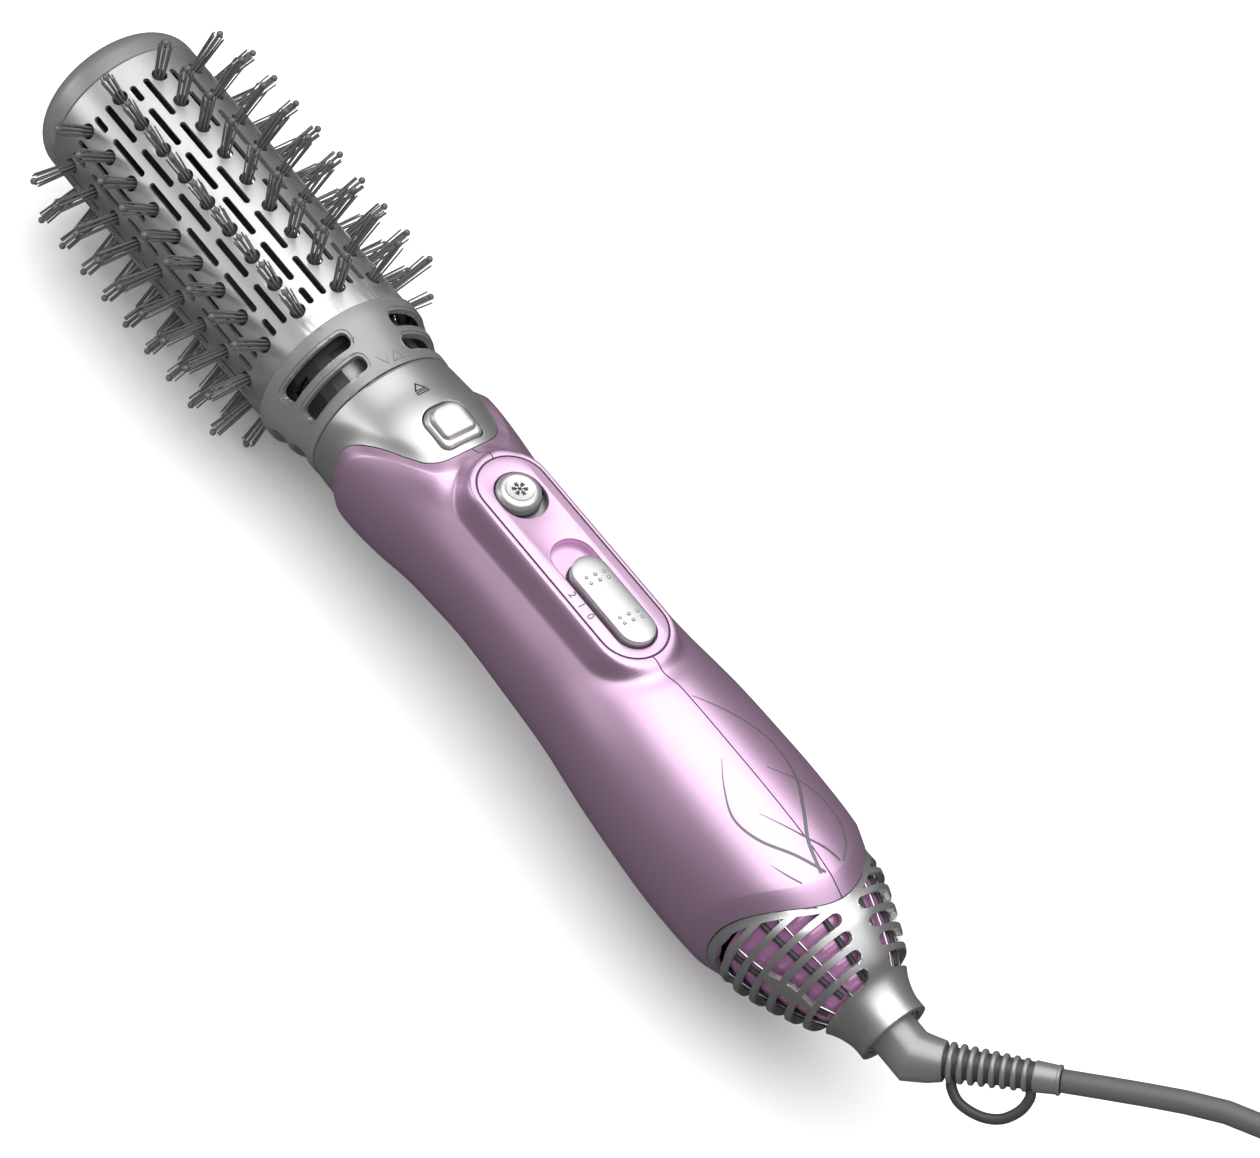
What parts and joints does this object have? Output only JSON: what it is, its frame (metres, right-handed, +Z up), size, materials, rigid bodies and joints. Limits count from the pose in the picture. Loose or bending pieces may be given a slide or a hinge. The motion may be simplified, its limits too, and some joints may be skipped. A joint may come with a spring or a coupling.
{
  "type": "hot air brush",
  "caption": "Mains hot air styling brush: vented barrel with retractable bristle rows and twist cap, two-shell grip with slide controls, slotted air inlet and swivelling cord.",
  "frame": {"origin": "under the middle of the brush without its cord, on the surface that its bristle tips and its cord lie on", "axes": "+X along the barrel from the tip to the cord end, +Z up through the buttons, +Y to the right-hand shell"},
  "size_m": [0.4803, 0.0967, 0.074],
  "materials": {
    "satin_silver": "satin metallic silver paint",
    "pink_satin": "satin metallic mauve-pink paint",
    "grey_plastic": "fine-grained moulded grey",
    "dark_plastic": "moulded dark grey",
    "nylon": "drawn nylon filament",
    "cord_rubber": "smooth satin",
    "steel": "drawn",
    "brass": "nickel-brass, drawn",
    "mica": "mica sheet",
    "board": "lacquered board"
  },
  "bodies": {
    "handle": {"neck_collar": "satin_silver", "handle_shell_left": "pink_satin", "handle_shell_right": "pink_satin", "handle_screw_front": "steel", "handle_screw_rear": "steel", "control_panel": "pink_satin", "release_spring": "steel", "cool_spring": "steel", "switch_body": "dark_plastic", "circuit_board": "board", "heater_tube": "mica", "heater_cross": "mica", "heater_coil": "steel", "thermostat": "steel", "motor_can": "steel", "motor_mount": "dark_plastic", "rear_grille": "satin_silver", "inlet_filter": "pink_satin", "swivel_bush": "pink_satin"},
    "brush_head": {"barrel": "satin_silver", "front_bearing": "grey_plastic", "rear_bearing": "grey_plastic", "base_ring": "grey_plastic", "inner_vent_ring": "dark_plastic"},
    "twist_cap": {"end_cap": "grey_plastic", "cam_shaft": "dark_plastic", "scroll_plate_front": "dark_plastic", "scroll_plate_rear": "dark_plastic"},
    "row_01": {"bristle_row_01": "nylon"},
    "row_02": {"bristle_row_02": "nylon"},
    "row_03": {"bristle_row_03": "nylon"},
    "row_04": {"bristle_row_04": "nylon"},
    "row_05": {"bristle_row_05": "nylon"},
    "row_06": {"bristle_row_06": "nylon"},
    "row_07": {"bristle_row_07": "nylon"},
    "row_08": {"bristle_row_08": "nylon"},
    "row_09": {"bristle_row_09": "nylon"},
    "row_10": {"bristle_row_10": "nylon"},
    "row_11": {"bristle_row_11": "nylon"},
    "row_12": {"bristle_row_12": "nylon"},
    "release": {"release_button": "satin_silver", "latch_hook": "dark_plastic"},
    "cool_shot": {"cool_button": "satin_silver"},
    "slide_switch": {"switch_slider": "satin_silver", "switch_carriage": "dark_plastic"},
    "fan": {"motor_shaft": "steel", "fan_impeller": "dark_plastic"},
    "cord_swivel": {"cord_elbow": "grey_plastic", "strain_relief": "cord_rubber", "hanging_loop": "cord_rubber", "power_cord": "cord_rubber", "cord_tail": "cord_rubber", "cord_coil": "cord_rubber", "cord_tie": "dark_plastic", "plug_body": "cord_rubber", "plug_pin_a": "brass", "plug_pin_b": "brass"}
  },
  "joints": [
    {"name": "head_slide", "type": "slide", "parent": "handle", "child": "brush_head", "axis": [-1, 0, 0], "range_m": [0, 0.035]},
    {"name": "cap_twist", "type": "hinge", "parent": "brush_head", "child": "twist_cap", "pos_m": [-0.17919, 0, 0.037], "axis": [1, 0, 0], "range_deg": [0, 90]},
    {"name": "row_01_retract", "type": "slide", "parent": "brush_head", "child": "row_01", "axis": [0, 0, -1], "range_m": [0, 0.0125]},
    {"name": "row_02_retract", "type": "slide", "parent": "brush_head", "child": "row_02", "axis": [0, 0.5, -0.866], "range_m": [0, 0.0125]},
    {"name": "row_03_retract", "type": "slide", "parent": "brush_head", "child": "row_03", "axis": [0, 0.866, -0.5], "range_m": [0, 0.0125]},
    {"name": "row_04_retract", "type": "slide", "parent": "brush_head", "child": "row_04", "axis": [0, 1, 0], "range_m": [0, 0.0125]},
    {"name": "row_05_retract", "type": "slide", "parent": "brush_head", "child": "row_05", "axis": [0, 0.866, 0.5], "range_m": [0, 0.0125]},
    {"name": "row_06_retract", "type": "slide", "parent": "brush_head", "child": "row_06", "axis": [0, 0.5, 0.866], "range_m": [0, 0.0125]},
    {"name": "row_07_retract", "type": "slide", "parent": "brush_head", "child": "row_07", "axis": [0, 0, 1], "range_m": [0, 0.0125]},
    {"name": "row_08_retract", "type": "slide", "parent": "brush_head", "child": "row_08", "axis": [0, -0.5, 0.866], "range_m": [0, 0.0125]},
    {"name": "row_09_retract", "type": "slide", "parent": "brush_head", "child": "row_09", "axis": [0, -0.866, 0.5], "range_m": [0, 0.0125]},
    {"name": "row_10_retract", "type": "slide", "parent": "brush_head", "child": "row_10", "axis": [0, -1, 0], "range_m": [0, 0.0125]},
    {"name": "row_11_retract", "type": "slide", "parent": "brush_head", "child": "row_11", "axis": [0, -0.866, -0.5], "range_m": [0, 0.0125]},
    {"name": "row_12_retract", "type": "slide", "parent": "brush_head", "child": "row_12", "axis": [0, -0.5, -0.866], "range_m": [0, 0.0125]},
    {"name": "release_press", "type": "slide", "parent": "handle", "child": "release", "axis": [0, 0, -1], "range_m": [0, 0.002], "stiffness_N_per_m": 900, "springref_m": -0.002, "deforming": ["release_spring"]},
    {"name": "cool_slide", "type": "slide", "parent": "handle", "child": "cool_shot", "axis": [1, 0, 0], "range_m": [0, 0.002], "stiffness_N_per_m": 500, "springref_m": -0.002, "deforming": ["cool_spring"]},
    {"name": "switch_slide", "type": "slide", "parent": "handle", "child": "slide_switch", "axis": [-1, 0, 0], "range_m": [0, 0.0066]},
    {"name": "fan_spin", "type": "hinge", "parent": "handle", "child": "fan", "pos_m": [0.08281, 0, 0.037], "axis": [1, 0, 0], "continuous": true},
    {"name": "cord_swivel_turn", "type": "hinge", "parent": "handle", "child": "cord_swivel", "pos_m": [0.14281, 0, 0.037], "axis": [1, 0, 0], "continuous": true}
  ],
  "couplings": [
    {"joint": "row_01_retract", "follows": "cap_twist", "m_per_rad": 0.0078941},
    {"joint": "row_02_retract", "follows": "cap_twist", "m_per_rad": 0.0078941},
    {"joint": "row_03_retract", "follows": "cap_twist", "m_per_rad": 0.0078941},
    {"joint": "row_04_retract", "follows": "cap_twist", "m_per_rad": 0.0078941},
    {"joint": "row_05_retract", "follows": "cap_twist", "m_per_rad": 0.0078941},
    {"joint": "row_06_retract", "follows": "cap_twist", "m_per_rad": 0.0078941},
    {"joint": "row_07_retract", "follows": "cap_twist", "m_per_rad": 0.0078941},
    {"joint": "row_08_retract", "follows": "cap_twist", "m_per_rad": 0.0078941},
    {"joint": "row_09_retract", "follows": "cap_twist", "m_per_rad": 0.0078941},
    {"joint": "row_10_retract", "follows": "cap_twist", "m_per_rad": 0.0078941},
    {"joint": "row_11_retract", "follows": "cap_twist", "m_per_rad": 0.0078941},
    {"joint": "row_12_retract", "follows": "cap_twist", "m_per_rad": 0.0078941}
  ]
}
